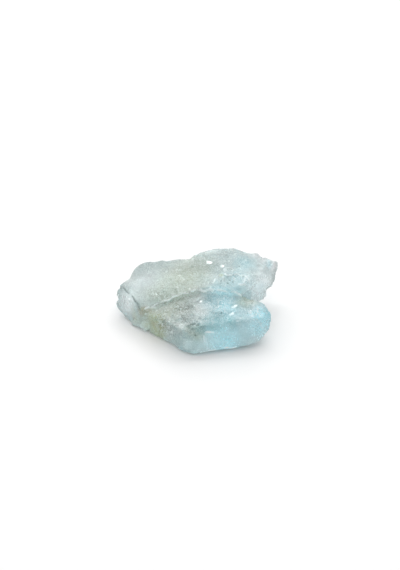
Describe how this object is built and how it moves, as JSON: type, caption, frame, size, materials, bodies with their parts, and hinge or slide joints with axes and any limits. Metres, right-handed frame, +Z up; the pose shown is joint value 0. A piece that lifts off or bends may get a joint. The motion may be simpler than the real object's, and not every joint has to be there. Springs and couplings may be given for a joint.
{
  "type": "rough aquamarine crystal",
  "caption": "Rough natural aquamarine: a broad flat slab and a prism grown together side by side, with broken ends, a stepped top and a flat underside it lies on.",
  "frame": {"origin": "middle of the stone's box in plan, on the surface it rests on", "axes": "+X along the stone's length, +Y from the prism in front towards the slab behind, +Z up from the underside"},
  "size_m": [0.038, 0.0242, 0.0136],
  "materials": {
    "aquamarine": "cloudy translucent blue-green with olive patches, etched surface with small sparkling facets"
  },
  "bodies": {
    "root": {"aquamarine_crystal": "aquamarine"}
  },
  "joints": []
}
